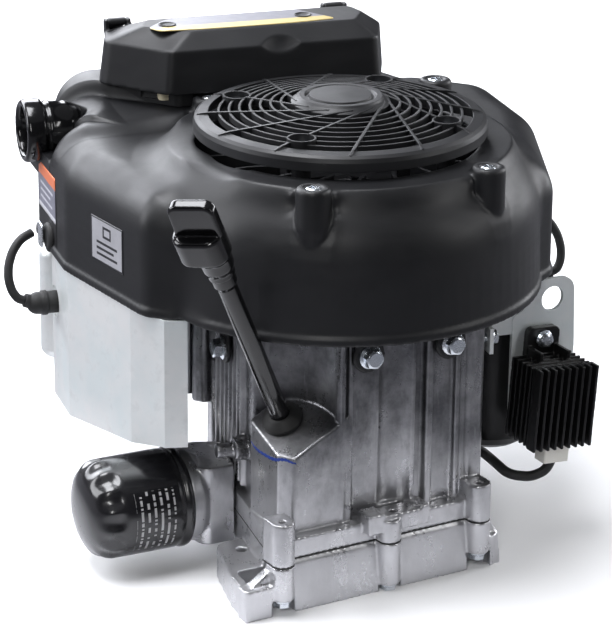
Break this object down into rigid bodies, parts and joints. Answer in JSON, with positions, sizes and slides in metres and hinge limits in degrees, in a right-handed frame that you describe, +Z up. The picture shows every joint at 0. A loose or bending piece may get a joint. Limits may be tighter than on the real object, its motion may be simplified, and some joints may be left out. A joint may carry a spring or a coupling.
{
  "type": "small gasoline engine",
  "caption": "Vertical-shaft V-twin petrol engine with blower housing, rotating screen, air cleaner, dipstick, oil filter, regulator and foot casting.",
  "frame": {"origin": "where the crankshaft axis meets the mounting face, at the centre of the mounting bolt circle", "axes": "+Z up along the crankshaft, away from the output end; +Y along the bisector of the two cylinders, towards the air cleaner; +X towards the voltage regulator"},
  "size_m": [0.46, 0.4001, 0.438],
  "materials": {
    "cast_aluminium": "die-cast, matt",
    "finned_aluminium": "die-cast, matt",
    "black_plastic": "fine satin texture",
    "gloss_black": "gloss",
    "zinc_sheet": "bright zinc plated",
    "zinc_fastener": "bright zinc plated",
    "filter_paint": "gloss paint",
    "black_coating": "satin coating",
    "rubber": "matt",
    "gasket": "matt",
    "white_plastic": "natural nylon",
    "steel": "machined",
    "cast_iron": "as cast",
    "copper_winding": "enamelled wire",
    "bronze": "plain",
    "filter_paper": "pleated paper"
  },
  "bodies": {
    "engine": {"air_cleaner_base": "black_plastic", "air_filter_element": "filter_paper", "blower_housing": "black_plastic", "bracket_bolts": "zinc_fastener", "carburettor": "cast_aluminium", "crankcase": "cast_aluminium", "cylinder_head_left": "finned_aluminium", "cylinder_head_right": "finned_aluminium", "cylinder_left": "finned_aluminium", "cylinder_right": "finned_aluminium", "cylinder_shroud_left": "zinc_sheet", "cylinder_shroud_right": "zinc_sheet", "dipstick_tube": "gloss_black", "filter_adapter": "cast_aluminium", "housing_bolts": "zinc_fastener", "housing_screws": "zinc_fastener", "ignition_coils": "black_coating", "intake_duct": "gloss_black", "intake_manifold": "cast_aluminium", "lifting_eye": "zinc_sheet", "lower_oil_seal": "rubber", "oil_filter": "filter_paint", "oil_sump": "cast_aluminium", "plug_boot_left": "rubber", "plug_boot_right": "rubber", "plug_lead_left": "rubber", "plug_lead_right": "rubber", "regulator_connector": "white_plastic", "regulator_harness": "rubber", "rocker_cover_left": "zinc_sheet", "rocker_cover_right": "zinc_sheet", "spark_plug_left": "steel", "spark_plug_right": "steel", "starter_motor": "black_coating", "stator": "copper_winding", "sump_bolts": "zinc_fastener", "sump_gasket": "gasket", "tube_grommet": "rubber", "upper_main_bearing": "bronze", "voltage_regulator": "black_coating"},
    "crank": {"crankshaft": "steel", "flywheel": "cast_iron", "flywheel_key": "steel", "flywheel_nut": "steel", "cooling_fan": "black_plastic", "rotating_screen": "black_plastic", "screen_screws": "zinc_fastener"},
    "camshaft": {"camshaft": "steel"},
    "piston_left": {"piston_left": "finned_aluminium", "wrist_pin_left": "steel", "piston_rings_left": "cast_iron"},
    "piston_right": {"piston_right": "finned_aluminium", "wrist_pin_right": "steel", "piston_rings_right": "cast_iron"},
    "starter_pinion": {"starter_pinion": "steel"},
    "air_cleaner_cover": {"air_cleaner_cover": "black_plastic"},
    "cover_latch_left": {"cover_latch_left": "black_plastic"},
    "cover_latch_right": {"cover_latch_right": "black_plastic"},
    "dipstick": {"dipstick": "gloss_black"},
    "throttle": {"throttle_lever": "steel"}
  },
  "joints": [
    {"name": "crank_spin", "type": "hinge", "parent": "engine", "child": "crank", "pos_m": [0, 0, 0.1], "axis": [0, 0, 1], "continuous": true},
    {"name": "camshaft_spin", "type": "hinge", "parent": "engine", "child": "camshaft", "pos_m": [0, 0.063, 0.1], "axis": [0, 0, 1], "continuous": true},
    {"name": "piston_left_slide", "type": "slide", "parent": "engine", "child": "piston_left", "axis": [-0.7071, 0.7071, 0], "range_m": [-0.05559, 0.01241]},
    {"name": "piston_right_slide", "type": "slide", "parent": "engine", "child": "piston_right", "axis": [0.7071, 0.7071, 0], "range_m": [-0.05559, 0.01241]},
    {"name": "starter_pinion_throw", "type": "slide", "parent": "engine", "child": "starter_pinion", "axis": [0, 0, 1], "range_m": [0, 0.015]},
    {"name": "air_cleaner_cover_lift", "type": "slide", "parent": "engine", "child": "air_cleaner_cover", "axis": [0, 0, 1], "range_m": [0, 0.04]},
    {"name": "cover_latch_left_swing", "type": "hinge", "parent": "air_cleaner_cover", "child": "cover_latch_left", "pos_m": [-0.117, 0.199, 0.3524], "axis": [1, 0, 0], "range_deg": [0, 60]},
    {"name": "cover_latch_right_swing", "type": "hinge", "parent": "air_cleaner_cover", "child": "cover_latch_right", "pos_m": [0.06, 0.199, 0.3524], "axis": [1, 0, 0], "range_deg": [0, 60]},
    {"name": "dipstick_pull", "type": "slide", "parent": "engine", "child": "dipstick", "axis": [-0.3873, -0.3508, 0.8526], "range_m": [0, 0.15]},
    {"name": "throttle_turn", "type": "hinge", "parent": "engine", "child": "throttle", "pos_m": [0, 0.164, 0.2085], "axis": [1, 0, 0], "range_deg": [0, 75]}
  ],
  "couplings": [
    {"joint": "camshaft_spin", "follows": "crank_spin", "ratio": -0.5}
  ]
}
